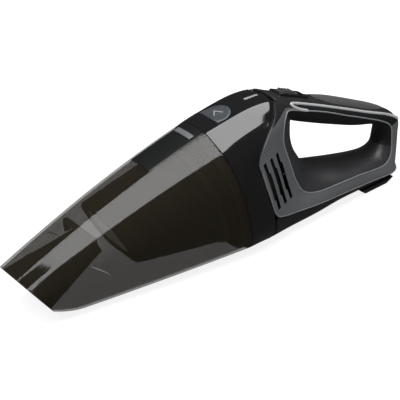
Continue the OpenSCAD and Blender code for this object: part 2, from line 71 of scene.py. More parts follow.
def arc3(a, b, c, s):
    """A point on the arc from a to c that leaves and arrives along the lines to b."""
    a, b, c = (np.asarray(p, float) for p in (a, b, c))
    return (1 - s) ** 2 * a + 2 * s * (1 - s) * b + s * s * c


def curve(points, n, loop=False):
    """A smooth curve through the points, with n steps between each two."""
    p = np.asarray(points, float)
    k = len(p)
    out = []
    for i in range(k if loop else k - 1):
        a = p[(i - 1) % k if loop else max(i - 1, 0)]
        b, c = p[i], p[(i + 1) % k]
        d = p[(i + 2) % k if loop else min(i + 2, k - 1)]
        for j in range(n):
            s = j / n
            out.append(0.5 * (2 * b + (c - a) * s + (2 * a - 5 * b + 4 * c - d) * s * s
                              + (3 * b - a - 3 * c + d) * s ** 3))
    if not loop:
        out.append(p[-1])
    return np.array(out)


class Section:
    """Half of the housing's section, as q runs from the top's middle to the bottom's.

    Top strip 0-1, facet 1-2, side 2-8 down to the waist, side 8-11 below it, corner 11-14, bottom 14-15.
    """

    def __init__(self, top, low, w, strip, facet_w, facet_drop):
        self.top, self.low, self.w = top, low, w
        self.strip, self.fw, self.fz = strip, facet_w, top - facet_drop

    def raw(self, q):
        h, w, low = self.top - self.low, self.w, self.low
        waist, hip, toe = (w, low + 0.5 * h), (0.88 * w, low + 0.13 * h), (0.5 * w, low)
        if q <= 1:
            return np.array([self.strip * q, self.top + CROWN * (1 - q * q)])
        if q <= 2:
            return lerp((self.strip, self.top), (self.fw, self.fz), q - 1)
        if q <= 8:
            return arc3((self.fw, self.fz), (w, self.fz - 0.15 * h), waist, (q - 2) / 6)
        if q <= 11:
            return arc3(waist, (w, low + 0.2 * h), hip, (q - 8) / 3)
        if q <= 14:
            return arc3(hip, (0.76 * w, low), toe, (q - 11) / 3)
        return lerp(toe, (0, low), q - 14)

    def at(self, q):
        """The section with its two upper edges rounded off."""
        for corner, before, after in ((1, 0.1, 0.06), (2, 0.07, 0.25)):
            if corner - before < q < corner + after:
                s = (q - corner + before) / (before + after)
                return arc3(self.raw(corner - before), self.raw(corner), self.raw(corner + after), s)
        return self.raw(q)


# places along a section, close together at the rounded edges
STATIONS = ([0, 0.3, 0.6, 0.8] + [0.9 + 0.02 * i for i in range(9)] + [1.2, 1.4, 1.6, 1.8]
            + [1.93 + 0.04 * i for i in range(9)] + [2.4 + 0.3 * i for i in range(19)]
            + [8 + 0.25 * i for i in range(1, 24)] + [14.2, 15])


def inset(points, d):
    """A half section moved inwards by d."""
    p = np.asarray(points, float)
    before = np.vstack([[-p[1, 0], p[1, 1]], p[:-1]])
    after = np.vstack([p[1:], [-p[-2, 0], p[-2, 1]]])
    t = after - before
    t /= np.linalg.norm(t, axis=1)[:, None]
    return p + d * np.stack([t[:, 1], -t[:, 0]], axis=1)


def whole(half):
    """Both halves of a ring of points whose half starts and ends on the middle plane."""
    half = np.asarray(half, float)
    left = half * [1, -1, 1]
    return np.vstack([left, half[-2:0:-1]])


def leaning(points, xt, xl, zt, zl):
    """A section's points in space, on a plane that leans from xl at height zl to xt at height zt."""
    return np.array([[xl + (xt - xl) * (z - zl) / (zt - zl), y, z] for y, z in points])


def normals(g, ring, loop, flat=False):
    """Unit normals of a grid; ring joins its columns, loop its rows, flat keeps the last column level."""
    ni, nj = g.shape[:2]
    i = np.arange(ni)
    j = np.arange(nj)
    i0, i1 = ((i - 1) % ni, (i + 1) % ni) if loop else (np.maximum(i - 1, 0), np.minimum(i + 1, ni - 1))
    j0, j1 = ((j - 1) % nj, (j + 1) % nj) if ring else (np.maximum(j - 1, 0), np.minimum(j + 1, nj - 1))
    n = np.cross(g[:, j1] - g[:, j0], g[i1] - g[i0])
    if flat:
        n[:, -1, 1] = 0
    return n / np.maximum(np.linalg.norm(n, axis=2), 1e-9)[:, :, None]


def inner_skin(g, d, ring=True, loop=False, thin=1, thin_end=1, flat=False):
    """The grid moved inwards by d, or by a share of d in its first and last column."""
    t = np.ones(g.shape[1])
    t[0], t[-1] = thin, thin_end
    return g - d * t[None, :, None] * normals(g, ring, loop, flat)


# ---- meshes: the angles are in degrees ----
SMOOTH = 38
BEAD_SMOOTH = 60
BEVEL_FROM = 50


def link(name, data):
    obj = bpy.data.objects.new(name, data)
    bpy.context.scene.collection.objects.link(obj)
    return obj


def new_object(name, verts, faces, angle=SMOOTH, bevel=0.0):
    mesh = bpy.data.meshes.new(name)
    mesh.from_pydata([tuple(v) for v in np.asarray(verts) * MM], [], faces)
    mesh.validate()
    return finish_mesh(link(name, mesh), angle, bevel)


def finish_mesh(obj, angle=SMOOTH, bevel=0.0):
    """Bevels the mesh's edges and smooths it up to the angle in degrees."""
    if bevel:
        mod = obj.modifiers.new("edge", "BEVEL")
        mod.width = bevel * MM
        mod.segments = 2
        mod.limit_method = "ANGLE"
        mod.angle_limit = math.radians(BEVEL_FROM)
        bake(obj)
    obj.data.polygons.foreach_set("use_smooth", [True] * len(obj.data.polygons))
    obj.data.set_sharp_from_angle(angle=math.radians(angle))
    return obj


def bake(obj):
    """Applies the object's modifiers to its mesh."""
    graph = bpy.context.evaluated_depsgraph_get()
    mesh = bpy.data.meshes.new_from_object(obj.evaluated_get(graph))
    obj.modifiers.clear()
    obj.data = mesh


def skin(name, outer, inner, ring=True, loop=False, angle=SMOOTH, bevel=0.0):
    """A closed shell between an outer and an inner grid of points."""
    ni, nj = outer.shape[:2]
    m = ni * nj
    faces = []
    li = ni if loop else ni - 1
    lj = nj if ring else nj - 1
    for i in range(li):
        for j in range(lj):
            a, b = i * nj + j, i * nj + (j + 1) % nj
            c, d = ((i + 1) % ni) * nj + (j + 1) % nj, ((i + 1) % ni) * nj + j
            faces += [(a, b, c, d), (m + d, m + c, m + b, m + a)]
    last = (ni - 1) * nj
    if not loop:
        for j in range(lj):
            b = (j + 1) % nj
            faces += [(m + j, m + b, b, j), (last + j, last + b, m + last + b, m + last + j)]
    if not ring:
        for i in range(li):
            a, b = i * nj, ((i + 1) % ni) * nj
            faces += [(a, b, m + b, m + a),
                      (b + nj - 1, a + nj - 1, m + a + nj - 1, m + b + nj - 1)]
    verts = np.vstack([outer.reshape(-1, 3), inner.reshape(-1, 3)])
    return new_object(name, verts, faces, angle, bevel)


def tube(name, path, radius, sides, closed=False):
    """A round bead along a path, with round ends or closed into a ring."""
    p = np.asarray(path, float)
    n = len(p)
    rings = []
    for i in range(n):
        a = p[(i - 1) % n] if closed else p[max(i - 1, 0)]
        b = p[(i + 1) % n] if closed else p[min(i + 1, n - 1)]
        t = (b - a) / np.linalg.norm(b - a)
        side = np.cross(t, [0, 1, 0.02])
        side /= np.linalg.norm(side)
        up = np.cross(side, t)
        end = min(i, n - 1 - i)
        r = radius if closed or end > 1 else radius * (0.15, 0.75)[end]
        rings.append([p[i] + r * (math.cos(f) * side + math.sin(f) * up)
                      for f in np.linspace(0, 2 * math.pi, sides, endpoint=False)])
    faces = []
    for i in range(n if closed else n - 1):
        for j in range(sides):
            k, h = (j + 1) % sides, (i + 1) % n
            faces.append((i * sides + j, i * sides + k, h * sides + k, h * sides + j))
    if not closed:
        faces += [tuple(range(sides))[::-1], tuple((n - 1) * sides + j for j in range(sides))]
    return new_object(name, np.array(rings).reshape(-1, 3), faces, BEAD_SMOOTH)


def prism(name, outline, low, high, place=None, bevel=0.3):
    """An outline in X and Y raised from low to high, then put in its place."""
    k = len(outline)
    verts = [(x, y, low) for x, y in outline] + [(x, y, high) for x, y in outline]
    faces = [tuple(range(k))[::-1], tuple(range(k, 2 * k))]
    faces += [(i, (i + 1) % k, k + (i + 1) % k, k + i) for i in range(k)]
    obj = new_object(name, verts, faces, bevel=bevel)
    if place is not None:
        obj.data.transform(place)
    return obj


def at(origin, tilt=0.0):
    """A placement: a turn about Y in degrees, then a move in millimetres."""
    return Matrix.Translation(Vector(origin) * MM) @ Matrix.Rotation(math.radians(tilt), 4, "Y")


def cut(obj, cutters):
    """Takes the cutters out of the object, and removes them."""
    for c in cutters:
        mod = obj.modifiers.new("cut", "BOOLEAN")
        mod.operation = "DIFFERENCE"
        mod.solver = "EXACT"
        mod.object = c
    bake(obj)
    for c in cutters:
        bpy.data.objects.remove(c)
    return finish_mesh(obj)


def join(name, parts):
    """One object made of the parts, which are removed."""
    bm = bmesh.new()
    for p in parts:
        bm.from_mesh(p.data)
        bpy.data.objects.remove(p)
    mesh = bpy.data.meshes.new(name)
    bm.to_mesh(mesh)
    bm.free()
    return finish_mesh(link(name, mesh))


def mirrored(obj, name):
    """A copy on the other side of the middle plane."""
    mesh = obj.data.copy()
    mesh.transform(Matrix.Scale(-1, 4, (0, 1, 0)))
    mesh.flip_normals()
    return link(name, mesh)


# ---- materials: noise scales are in features per metre ----
CLOUD_SCALE = 55
GLOSSY_WEAR, MATTE_WEAR = 110, 900


def material(name, color, rough, grain=0.0, grain_mm=0.5, spread=0.06, metal=0.0, coat=0.0,
             alpha=1.0, shade=0.15, sheen=0.0, specular=0.5):
    """Moulded or metal surface: colour varies by shade, roughness by spread, and grain gives bump."""
    mat = bpy.data.materials.new(name)
    mat.use_nodes = True
    tree = mat.node_tree
    bsdf = tree.nodes["Principled BSDF"]
    for socket, value in (("Metallic", metal), ("Coat Weight", coat), ("Coat Roughness", 0.03),
                          ("Alpha", alpha), ("IOR", 1.5), ("Sheen Weight", sheen),
                          ("Specular IOR Level", specular)):
        bsdf.inputs[socket].default_value = value
    coords = tree.nodes.new("ShaderNodeTexCoord")
    cloud = noise(tree, coords, CLOUD_SCALE, 3)
    wear = noise(tree, coords, GLOSSY_WEAR if rough < 0.4 else MATTE_WEAR, 2)
    tint = tree.nodes.new("ShaderNodeMixRGB")
    tint.inputs["Color1"].default_value = (*[c * (1 - shade) for c in color], 1)
    tint.inputs["Color2"].default_value = (*[c * (1 + shade) for c in color], 1)
    tree.links.new(cloud.outputs["Fac"], tint.inputs["Fac"])
    tree.links.new(tint.outputs["Color"], bsdf.inputs["Base Color"])
    span = tree.nodes.new("ShaderNodeMapRange")
    span.inputs["To Min"].default_value = max(rough - spread, 0.01)
    span.inputs["To Max"].default_value = rough + spread
    tree.links.new(wear.outputs["Fac"], span.inputs["Value"])
    tree.links.new(span.outputs["Result"], bsdf.inputs["Roughness"])
    if grain:
        fine = noise(tree, coords, 1 / (grain_mm * MM), 2)
        bump = tree.nodes.new("ShaderNodeBump")
        bump.inputs["Strength"].default_value = grain
        bump.inputs["Distance"].default_value = 0.1 * MM
        tree.links.new(fine.outputs["Fac"], bump.inputs["Height"])
        tree.links.new(bump.outputs["Normal"], bsdf.inputs["Normal"])
    return mat


def noise(tree, coords, scale, detail):
    """A noise node in the object's own coordinates."""
    node = tree.nodes.new("ShaderNodeTexNoise")
    node.inputs["Scale"].default_value = scale
    node.inputs["Detail"].default_value = detail
    tree.links.new(coords.outputs["Object"], node.inputs["Vector"])
    return node


MATS = {
    "smoked": material("smoked", (0.014, 0.0115, 0.0075), 0.06, alpha=0.53, spread=0.008,
                       shade=0.1, specular=0.6),
    "tongue": material("tongue", (0.006, 0.0063, 0.0065), 0.25, 0.05, 0.5, 0.03, specular=0.3),
    "gloss_black": material("gloss_black", (0.006, 0.006, 0.0065), 0.09, 0.02, 2.5, 0.03, coat=0.3),
    "satin_black": material("satin_black", (0.010, 0.010, 0.0105), 0.36, 0.2, 0.35, 0.08),
    "charcoal": material("charcoal", (0.068, 0.071, 0.076), 0.42, 0.35, 0.3, 0.07, shade=0.08),
    "button": material("button", (0.027, 0.030, 0.034), 0.38, 0.25, 0.3, 0.06, shade=0.08),
    # bead: light grey, a painted highlight along the grip's rounded shoulder
    "highlight_bead": material("highlight_bead", (0.30, 0.30, 0.305), 0.3, 0.08, 0.4, 0.05),
    "soft_black": material("soft_black", (0.012, 0.012, 0.012), 0.62, 0.5, 0.45, 0.08, sheen=0.1),
    "inner_black": material("inner_black", (0.010, 0.0105, 0.011), 0.34, specular=0.0),
    "steel": material("steel", (0.55, 0.55, 0.57), 0.28, 0.2, 0.3, 0.1, metal=1.0),
    "copper": material("copper", (0.55, 0.28, 0.12), 0.35, 0.5, 0.4, 0.1, metal=0.9),
    "bronze": material("bronze", (0.5, 0.36, 0.16), 0.42, 0.4, 0.3, 0.1, metal=0.9),
    "magnet": material("magnet", (0.05, 0.05, 0.055), 0.5, 0.5, 0.3, 0.1),
    "natural": material("natural", (0.62, 0.60, 0.54), 0.45, 0.2, 0.4, 0.08),
    "cell_wrap": material("cell_wrap", (0.03, 0.19, 0.08), 0.25, 0.05, 1.0, 0.05),
    "board": material("board", (0.01, 0.10, 0.03), 0.35, 0.3, 0.6, 0.08),
    "lens": material("lens", (0.19, 0.195, 0.2), 0.3, 0.15, 0.4, 0.06, shade=0.05),
    "cloth": material("cloth", (0.42, 0.41, 0.37), 0.85, 0.8, 0.6, 0.08, sheen=0.2),
    "foam": material("foam", (0.012, 0.012, 0.012), 0.9, 1.0, 0.8, 0.05),
    # painted shade: a darker charcoal for the walls of the finger opening, which are the same charcoal
    # plastic
    "painted_shade_charcoal": material("painted_shade_charcoal", (0.022, 0.0225, 0.024), 0.36, 0.35, 0.3, 0.07, shade=0.08),
    # rim: lighter grey; on the finger opening's rim and the panel's lower edge it is a painted highlight
    "rim": material("rim", (0.15, 0.152, 0.156), 0.34, 0.1, 0.4, 0.05),
    # painted shade: near black for the opening's walls under the grip and for the air outlets' walls
    "painted_shade_black": material("painted_shade_black", (0.006, 0.006, 0.0062), 0.55, 0.4, 0.35, 0.08),
}
NODE_MATS = {
    "satin_black": ["front_bulkhead", "fan_housing", "motor_end_cap", "battery_holder", "charge_jack",
                    "switch_module", "latch_hook", "latch_bracket"],
    "steel": ["flap_pin", "motor_shaft", "motor_can", "battery_tabs", "latch_pin", "release_spring",
              "shell_screws"],
    "soft_black": ["cup_seal", "motor_mount"],
    "copper": ["motor_rotor"], "bronze": ["motor_bushes"], "magnet": ["motor_magnets"],
    "natural": ["impeller"], "cell_wrap": ["battery_cells"], "board": ["circuit_board"],
    "foam": ["exhaust_foam"],
}


def paint(obj, key):
    obj.data.materials.clear()
    obj.data.materials.append(MATS[key])


def piece(obj, body, slot, mat, *nodes):
    """Paints a piece, puts it on its body and hides the CAD nodes it stands for."""
    paint(obj, mat)
    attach(obj, body)
    if nodes:
        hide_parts(*nodes)
    return obj


def both_sides(obj, body, slot, mat, angle=SMOOTH):
    """The piece and its mirror image on the other side."""
    twin = mirrored(obj, obj.name + "_right")
    for side in (obj, twin):
        piece(side, body, slot, mat)
    finish_mesh(twin, angle)


for key, names in NODE_MATS.items():
    for n in names:
        paint(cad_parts[n], key)


# ---- dust cup ----
TOP_ARCH = 19.2
LIFT_END = 0.16
SIDE_SWELL = 0.45
FACET_HALF = (22.5, 34.5)
FACET_DROP = (5.5, 11.7)
MOUTH_RIM = 0.6
FILL_LINE_T = (0.26, 0.31)
FILL_LINE_Q = (5.4, 8.2)


def cup_section(t):
    """The cup's section, from t = 0 at the mouth to 1 at the seam."""
    return Section(lerp(NOSE_Z, SEAM_Z, t) + TOP_ARCH * t * (1 - t),
                   MOUTH_LIFT * max(0, 1 - t / LIFT_END) ** 2,
                   lerp(MOUTH_HALF, SEAM_HALF, (1 + SIDE_SWELL) * t - SIDE_SWELL * t * t),
                   lerp(STRIP_HALF - 1, STRIP_HALF, t), lerp(*FACET_HALF, t), lerp(*FACET_DROP, t))


def cup_leaning(t, half):
    """Points of the cup's section in their places along the cup."""
    sec = cup_section(t)
    return leaning(half, lerp(NOSE_X, SEAM_TOP_X, t), lerp(MOUTH_LOW_X, SEAM_LOW_X, t), sec.top, sec.low)


def cup_ring(t, d):
    sec = cup_section(t)
    return whole(cup_leaning(t, inset([sec.at(q) for q in STATIONS], d)))


def make_cup():
    ts = np.linspace(0, 1, 56)
    outer = np.array([cup_ring(t, 0) for t in ts])
    inner = np.array([cup_ring(t, CUP_WALL) for t in ts])
    cup = skin("cup_shell", outer, inner, bevel=0.35)
    piece(cup, "cup", "smoked_plastic", "smoked", "dust_cup")
    cup.data.materials.append(MATS["tongue"])
    for face in cup.data.polygons:
        x, _, z = face.center / MM
        if abs(x - lerp(MOUTH_LOW_X, NOSE_X, (z - MOUTH_LIFT) / (NOSE_Z - MOUTH_LIFT))) < MOUTH_RIM:
            face.material_index = 1
    line = []
    for share in np.linspace(0, 1, 9):
        t = lerp(*FILL_LINE_T, share)
        point = cup_leaning(t, [cup_section(t).at(lerp(*FILL_LINE_Q, share))])[0]
        line.append(point * [1, -1, 1])
    both_sides(tube("fill_line", np.array(line), 0.35, 8), "cup", "smoked_plastic", "rim", BEAD_SMOOTH)


def strip_patch(name, t0, t1, reach, lift, steps):
    """A raised patch of the cup's top strip, reach giving its share of the strip's half width."""
    grid = []
    for t in np.linspace(t0, t1, steps):
        sec = cup_section(t)
        grid.append(cup_leaning(t, [sec.raw(q) for q in np.linspace(-reach, reach, 15)]))
    under = np.array(grid)
    return skin(name, under + [-0.35 * lift, 0, lift], under + [0, 0, -0.4], ring=False, bevel=0.3)


def make_strip_parts():
    """The dark tongue along the rear of the cup's top strip, and the bar that crosses it."""
    piece(strip_patch("strip_tongue", 0.70, 0.998, 0.93, 0.12, 24), "cup", "smoked_plastic", "tongue")
    piece(strip_patch("strip_bar", 0.930, 0.957, 0.72, 1.3, 5), "cup", "button_grey", "charcoal")


# ---- camera, floor and light: places in metres, the view's angles in degrees ----
AZIMUTH, ELEVATION, ROLL = -32, 28, 4.6
CAMERA_DISTANCE = 1.3
TARGET = Vector((-0.013, 0, 0.042))
SENSOR, LENS = 36, 136.3
FAR_CLIP = 50
FLOOR_HALF = 4
FLOOR_DROP = 0.0002
FLOOR_GLOW = (("From Min", 0.4), ("From Max", 0.9), ("To Min", 0.84), ("To Max", 1.02))
AMBIENT = 0.22
GLOSSY_DIM = -0.18


def make_camera():
    azimuth, elevation, roll = (math.radians(a) for a in (AZIMUTH, ELEVATION, ROLL))
    back = Vector((math.sin(azimuth) * math.cos(elevation), -math.cos(azimuth) * math.cos(elevation),
                   math.sin(elevation)))
    level = Vector((math.cos(azimuth), math.sin(azimuth), 0))
    rise = back.cross(level)
    right = math.cos(roll) * level - math.sin(roll) * rise
    up = math.sin(roll) * level + math.cos(roll) * rise
    data = bpy.data.cameras.new("camera")
    data.sensor_width = SENSOR
    data.lens = LENS
    data.clip_end = FAR_CLIP
    cam = link("camera", data)
    cam.matrix_world = Matrix.Translation(TARGET + back * CAMERA_DISTANCE) @ Matrix(
        (right, up, back)).transposed().to_4x4()
    bpy.context.scene.camera = cam


def make_floor():
    """White paper that glows a little, brighter away from the object, so that its far edge is hidden."""
    mesh = bpy.data.meshes.new("floor")
    s = FLOOR_HALF
    mesh.from_pydata([(-s, -s, 0), (s, -s, 0), (s, s, 0), (-s, s, 0)], [], [(0, 1, 2, 3)])
    floor = link("floor", mesh)
    floor.location.z = -FLOOR_DROP
    mat = material("floor_paint", (0.22, 0.22, 0.22), 0.7, 0.05, 1.5, 0.05, shade=0.01)
    paper = mat.node_tree.nodes["Principled BSDF"]
    paper.inputs["Emission Color"].default_value = (1, 1, 1, 1)
    tree = mat.node_tree
    coords = tree.nodes.new("ShaderNodeTexCoord")
    reach = tree.nodes.new("ShaderNodeVectorMath")
    reach.operation = "LENGTH"
    fade = tree.nodes.new("ShaderNodeMapRange")
    for socket, value in FLOOR_GLOW:
        fade.inputs[socket].default_value = value
    tree.links.new(coords.outputs["Object"], reach.inputs[0])
    tree.links.new(reach.outputs["Value"], fade.inputs["Value"])
    tree.links.new(fade.outputs["Result"], paper.inputs["Emission Strength"])
    mesh.materials.append(mat)
    floor.visible_glossy = False


def area_light(name, place, aim, size, power):
    light = bpy.data.lights.new(name, "AREA")
    light.shape = "RECTANGLE"
    light.size, light.size_y = size
    light.energy = power
    obj = link(name, light)
    obj.location = place
    obj.rotation_euler = (Vector(aim) - Vector(place)).to_track_quat("-Z", "Y").to_euler()
    return obj


def make_lights():
    """A long soft box overhead, a weak one in front, and a backdrop that lights less than it shows."""
    area_light("overhead", place=(-0.12, 0, 1), aim=(-0.12, 0, 0), size=(1.95, 0.9), power=32)
    front = area_light("front", place=(-0.9, -1.3, 0.7), aim=(0, 0, 0.05), size=(0.9, 0.6), power=6)
    front.visible_glossy = False
    world = bpy.data.worlds.new("studio")
    bpy.context.scene.world = world
    world.use_nodes = True
    tree = world.node_tree
    base = tree.nodes["Background"]
    base.inputs["Color"].default_value = (1, 1, 1, 1)
    path = tree.nodes.new("ShaderNodeLightPath")
    dim = tree.nodes.new("ShaderNodeMapRange")
    dim.inputs["To Min"].default_value = AMBIENT
    dim.inputs["To Max"].default_value = 1.0
    tree.links.new(path.outputs["Is Camera Ray"], dim.inputs["Value"])
    glossy = tree.nodes.new("ShaderNodeMath")
    glossy.operation = "MULTIPLY_ADD"
    glossy.inputs[1].default_value = GLOSSY_DIM
    tree.links.new(path.outputs["Is Glossy Ray"], glossy.inputs[0])
    tree.links.new(dim.outputs["Result"], glossy.inputs[2])
    tree.links.new(glossy.outputs["Value"], base.inputs["Strength"])
    bpy.context.scene.view_settings.view_transform = "Standard"


# ---- intake duct, flap and filter ----
# each end: top, bottom, half width, half strip, facet's edge, facet's drop, x at the top and at the bottom
DUCT_PLAY = 0.1
DUCT_FRONT = (NOSE_Z - CUP_WALL - DUCT_PLAY, 9.1, MOUTH_HALF - CUP_WALL - DUCT_PLAY, 13.5, 20.6, 5.4,
              NOSE_X + 2.2, MOUTH_LOW_X - 1.2)
DUCT_REAR = (53, 39, 22, 12, 17, 3.5, -130, -124)
DUCT_STEP, DUCT_STEP_T = 0.5, (0.30, 0.36)
FLAP_AXIS = (-131, 0, 56.6)
FLAP_LEAN = -23.2
FLAP_SIZE = (40, 15, 2.5)
EAR = [(-3, 47), (3, 47), (3, 55.5), (2, 58.4), (0, 59), (-2, 58.4), (-3, 55.5)]
EAR_Y = 22
SWAP_YZ = Matrix(((1, 0, 0, 0), (0, 0, 1, 0), (0, 1, 0, 0), (0, 0, 0, 1)))
TO_Y = Matrix(((1, 0, 0, 0), (0, 0, 1, 0), (0, -1, 0, 0), (0, 0, 0, 1)))
TO_X = Matrix(((0, 0, 1, 0), (1, 0, 0, 0), (0, 1, 0, 0), (0, 0, 0, 1)))


def loft_ring(top, low, w, strip, fw, drop, xt, xl, d):
    """A whole ring from the sizes of its section, moved inwards by d."""
    sec = Section(top, low, w, strip, fw, drop)
    return whole(leaning(inset([sec.at(q) for q in STATIONS], d), xt, xl, top, low))


def duct_ring(t, d):
    return loft_ring(*(lerp(a, b, t) for a, b in zip(DUCT_FRONT, DUCT_REAR)), d)


def make_duct():
    ts = np.linspace(0, 1, 30)
    step = [DUCT_STEP if DUCT_STEP_T[0] < t < DUCT_STEP_T[1] else 0 for t in ts]
    duct = skin("duct_body", np.array([duct_ring(t, 0.3 - s) for t, s in zip(ts, step)]),
                np.array([duct_ring(t, 1.6) for t in ts]), bevel=0.3)
    ears = []
    for s in (-1, 1):
        ear = prism("ear", EAR, s * EAR_Y - 1, s * EAR_Y + 1, at((FLAP_AXIS[0], 0, 0)) @ SWAP_YZ)
        ear.data.flip_normals()
        ears.append(ear)
    piece(join("duct_with_ears", [duct] + ears), "cup", "satin_black", "inner_black", "intake_duct")


def circle(r, n, cx=0.0, cy=0.0, a0=0.0, a1=360.0):
    """Points of a circle or, with angles in degrees, of an arc."""
    full = a1 - a0 >= 360
    k = n if full else n + 1
    return [(cx + r * math.cos(math.radians(a0 + (a1 - a0) * i / n)),
             cy + r * math.sin(math.radians(a0 + (a1 - a0) * i / n))) for i in range(k)]


def rounded(w, h, r):
    """A rectangle outline with round corners, centred."""
    out = []
    for cx, cy, a in ((w / 2 - r, h / 2 - r, 0), (-w / 2 + r, h / 2 - r, 90),
                      (-w / 2 + r, -h / 2 + r, 180), (w / 2 - r, -h / 2 + r, 270)):
        out += circle(r, 5, cx, cy, a, a + 90)
    return out


def make_flap():
    barrel = prism("barrel", circle(2.6, 28), -20, 20)
    barrel = cut(barrel, [prism("bore", circle(1.25, 24), -24, 24, bevel=0)])
    barrel.data.transform(at(FLAP_AXIS) @ TO_Y)
    plate = prism("plate", [(x, y - 10.2) for x, y in rounded(*FLAP_SIZE)], 0.25, 1.75,
                  at(FLAP_AXIS, FLAP_LEAN) @ TO_X, 0.25)
    piece(join("flap_plate", [barrel, plate]), "flap", "soft_black", "soft_black", "intake_flap")


FILTER_FRONT = (73, 19, 30, 12, 19, 5, -120, -93)
FILTER_REAR = (97, 12, 47, 14, 34, 9, SEAM_TOP_X + 1, SEAM_LOW_X - 1)
FILTER_POWER = (0.9, 1, 0.7, 1, 1, 1, 1, 1)
GROOVES = ((0.2, 0.215), (0.62, 0.64))
WINDOW_T = (0.032, 0.055)
FRAME_WALL, FRAME_LIP, LIP_END = 1.8, 7, 0.03
CLOTH_OUTER, CLOTH_INNER = 2.1, 9
PLEAT_ROWS, PLEAT_X = 27, -119
PLEAT_TIPS = (2.6, 1.0)
SEAL_PROFILE = ((0.78, 0.3), (0.785, 1.3), (0.79, 1.6), (0.805, 0.9), (0.82, 1.6), (0.825, 1.3), (0.83, 0.3))


def filter_ring(t, d):
    return loft_ring(*(lerp(a, b, t ** p) for a, b, p in zip(FILTER_FRONT, FILTER_REAR, FILTER_POWER)), d)


def make_filter():
    ts = np.concatenate([[0, 0.008, 0.029, 0.031], np.linspace(0.06, 1, 44)])
    outer = []
    for k, t in enumerate(ts):
        d = 0.9 if k == 0 else 0
        if any(a < t < b for a, b in GROOVES):
            d = 0.7
        outer.append(filter_ring(t, d))
    inner = [filter_ring(t, FRAME_LIP if t < LIP_END else FRAME_WALL) for t in ts]
    body = skin("filter_body", np.array(outer), np.array(inner), bevel=0.25)
    piece(body, "filter", "satin_black", "inner_black", "filter_frame")
    # pleated cloth in the front window
    front = filter_ring(WINDOW_T[0], CLOTH_OUTER)
    cloth_rim = skin("cloth_rim", np.array([filter_ring(t, CLOTH_OUTER) for t in WINDOW_T]),
                     np.array([filter_ring(t, CLOTH_INNER) for t in WINDOW_T]))
    span = front[:, 1].max() - 8.5
    low, high = front[:, 2].min() + 7, front[:, 2].max() - 7
    lean = (front[:, 0].max() - front[:, 0].min()) / (front[:, 2].max() - front[:, 2].min())
    grid = []
    for i in range(PLEAT_ROWS):
        y = -span + 2 * span * i / (PLEAT_ROWS - 1)
        tight = 1 - 0.18 * (abs(y) / span) ** 3
        mid = (low + high) / 2
        line = []
        for k in range(9):
            z = mid + (high - low) / 2 * tight * (1 - k / 4)
            x = PLEAT_X + (FILTER_FRONT[0] - z) * lean + PLEAT_TIPS[i % 2]
            line.append((x, y, z))
        grid.append(line)
    grid = np.array(grid)[::-1]
    pleats = skin("pleats", grid, grid + [1.0, 0, 0], ring=False, angle=20)
    piece(join("filter_pleats", [cloth_rim, pleats]), "filter", "filter_cloth", "cloth", "filter_cloth")
    seal = skin("filter_ring", np.array([filter_ring(t, -lift) for t, lift in SEAL_PROFILE]),
                np.array([filter_ring(t, -0.05) for t, _ in SEAL_PROFILE]))
    piece(seal, "filter", "soft_black", "soft_black", "filter_seal")


# ---- collar ----
COLLAR_REAR = [(61, 0, 120.5), (60, 17, 118.5), (50, 28.5, 109.5), (38, 36.9, 102.8), (27, 42.6, 93.8),
               (19.5, 46, 84), (20, 47.6, 76), (22, 49.1, 64), (25.5, 50, 50), (30, 49.7, 36),
               (33, 48, 24), (34.5, 45, 15), (35.5, 40.5, 6.8), (36, 34.5, 1.8), (36, 27, 0), (36, 0, 0)]
REAR_FINE = 16
REAR_LINE = curve(COLLAR_REAR, REAR_FINE)
TOP_BULGE, SIDE_BULGE = ((0, 0, 2.6), (0, 0, 4)), ((0, 1, 3), (0, 1.2, 0.5), (0, 0, 0))
BULGE_FRONT, BULGE_GROWTH = 0.55, 1.05
COLLAR_SHARES = [0, 0.012, *np.linspace(0.03, 0.93, 26), 0.955, 0.98, 1]
COLLAR_DEPTH = [0.7, 0.15] + [0] * 26 + [0.35, 1.0, 1.9]
BUTTON_AT = at((2, 0, 112.9), -12)
BUTTON_R, BUTTON_FLAT = 14, 7
BUTTON_SKIRT = -2.6
BUTTON_LEVELS = ((1, 1.2), (0.985, 1.65), (0.95, 1.9), (0.7, 1.75), (0.4, 1.6), (0.1, 1.55))
CHEVRON = [(3.8, -2.3), (4.8, -3.2), (9.2, 2.6), (12.2, -4.3), (13.4, -3.8), (9.5, 5)]
LED_X = (39, 53)
LED_HALF = 1.6
LED_Z = (116.4, 120.9)


def between(table, q):
    """The place q along a table of points, counted in points."""
    i = min(int(q), len(table) - 2)
    return lerp(table[i], table[i + 1], q - i)


def rear_edge(q):
    """Where the collar ends: smooth from the strip's edge down the side, straight elsewhere."""
    return between(REAR_LINE, q * REAR_FINE) if 1 <= q <= 10 else between(COLLAR_REAR, q)


def bulge(q, s):
    """How far the collar stands off the straight line from seam to rear edge."""
    top = np.array(between(TOP_BULGE, min(q, 1))) * (BULGE_FRONT + BULGE_GROWTH * s)
    if q <= 1:
        off = top
    elif q <= 3:
        off = lerp(top, SIDE_BULGE[0], q - 1) if q <= 2 else lerp(SIDE_BULGE[0], SIDE_BULGE[1], q - 2)
    else:
        off = lerp(SIDE_BULGE[1], SIDE_BULGE[2], min(1, max(0, q - 11)))
    return 4 * s * (1 - s) * np.asarray(off)


def collar_ring(s):
    """The collar's section, from s = 0 at the seam to 1 at its rear edge."""
    sec = cup_section(1)
    half = []
    for q in STATIONS:
        y, z = sec.at(q)
        x = lerp(SEAM_LOW_X, SEAM_TOP_X, z / SEAM_Z) + SEAM_GAP
        rear = rear_edge(q) - [SEAM_GAP, 0, 0]
        half.append(lerp((x, y, z), rear, s) + bulge(q, s))
    return whole(half)


def button_outline(grow=0.0):
    """A D with its flat side in front."""
    r = BUTTON_R + grow
    return ([(-grow, r), (-grow, -r), (BUTTON_FLAT, -r)] + circle(r, 24, BUTTON_FLAT, 0, -80, 80)
            + [(BUTTON_FLAT, r)])


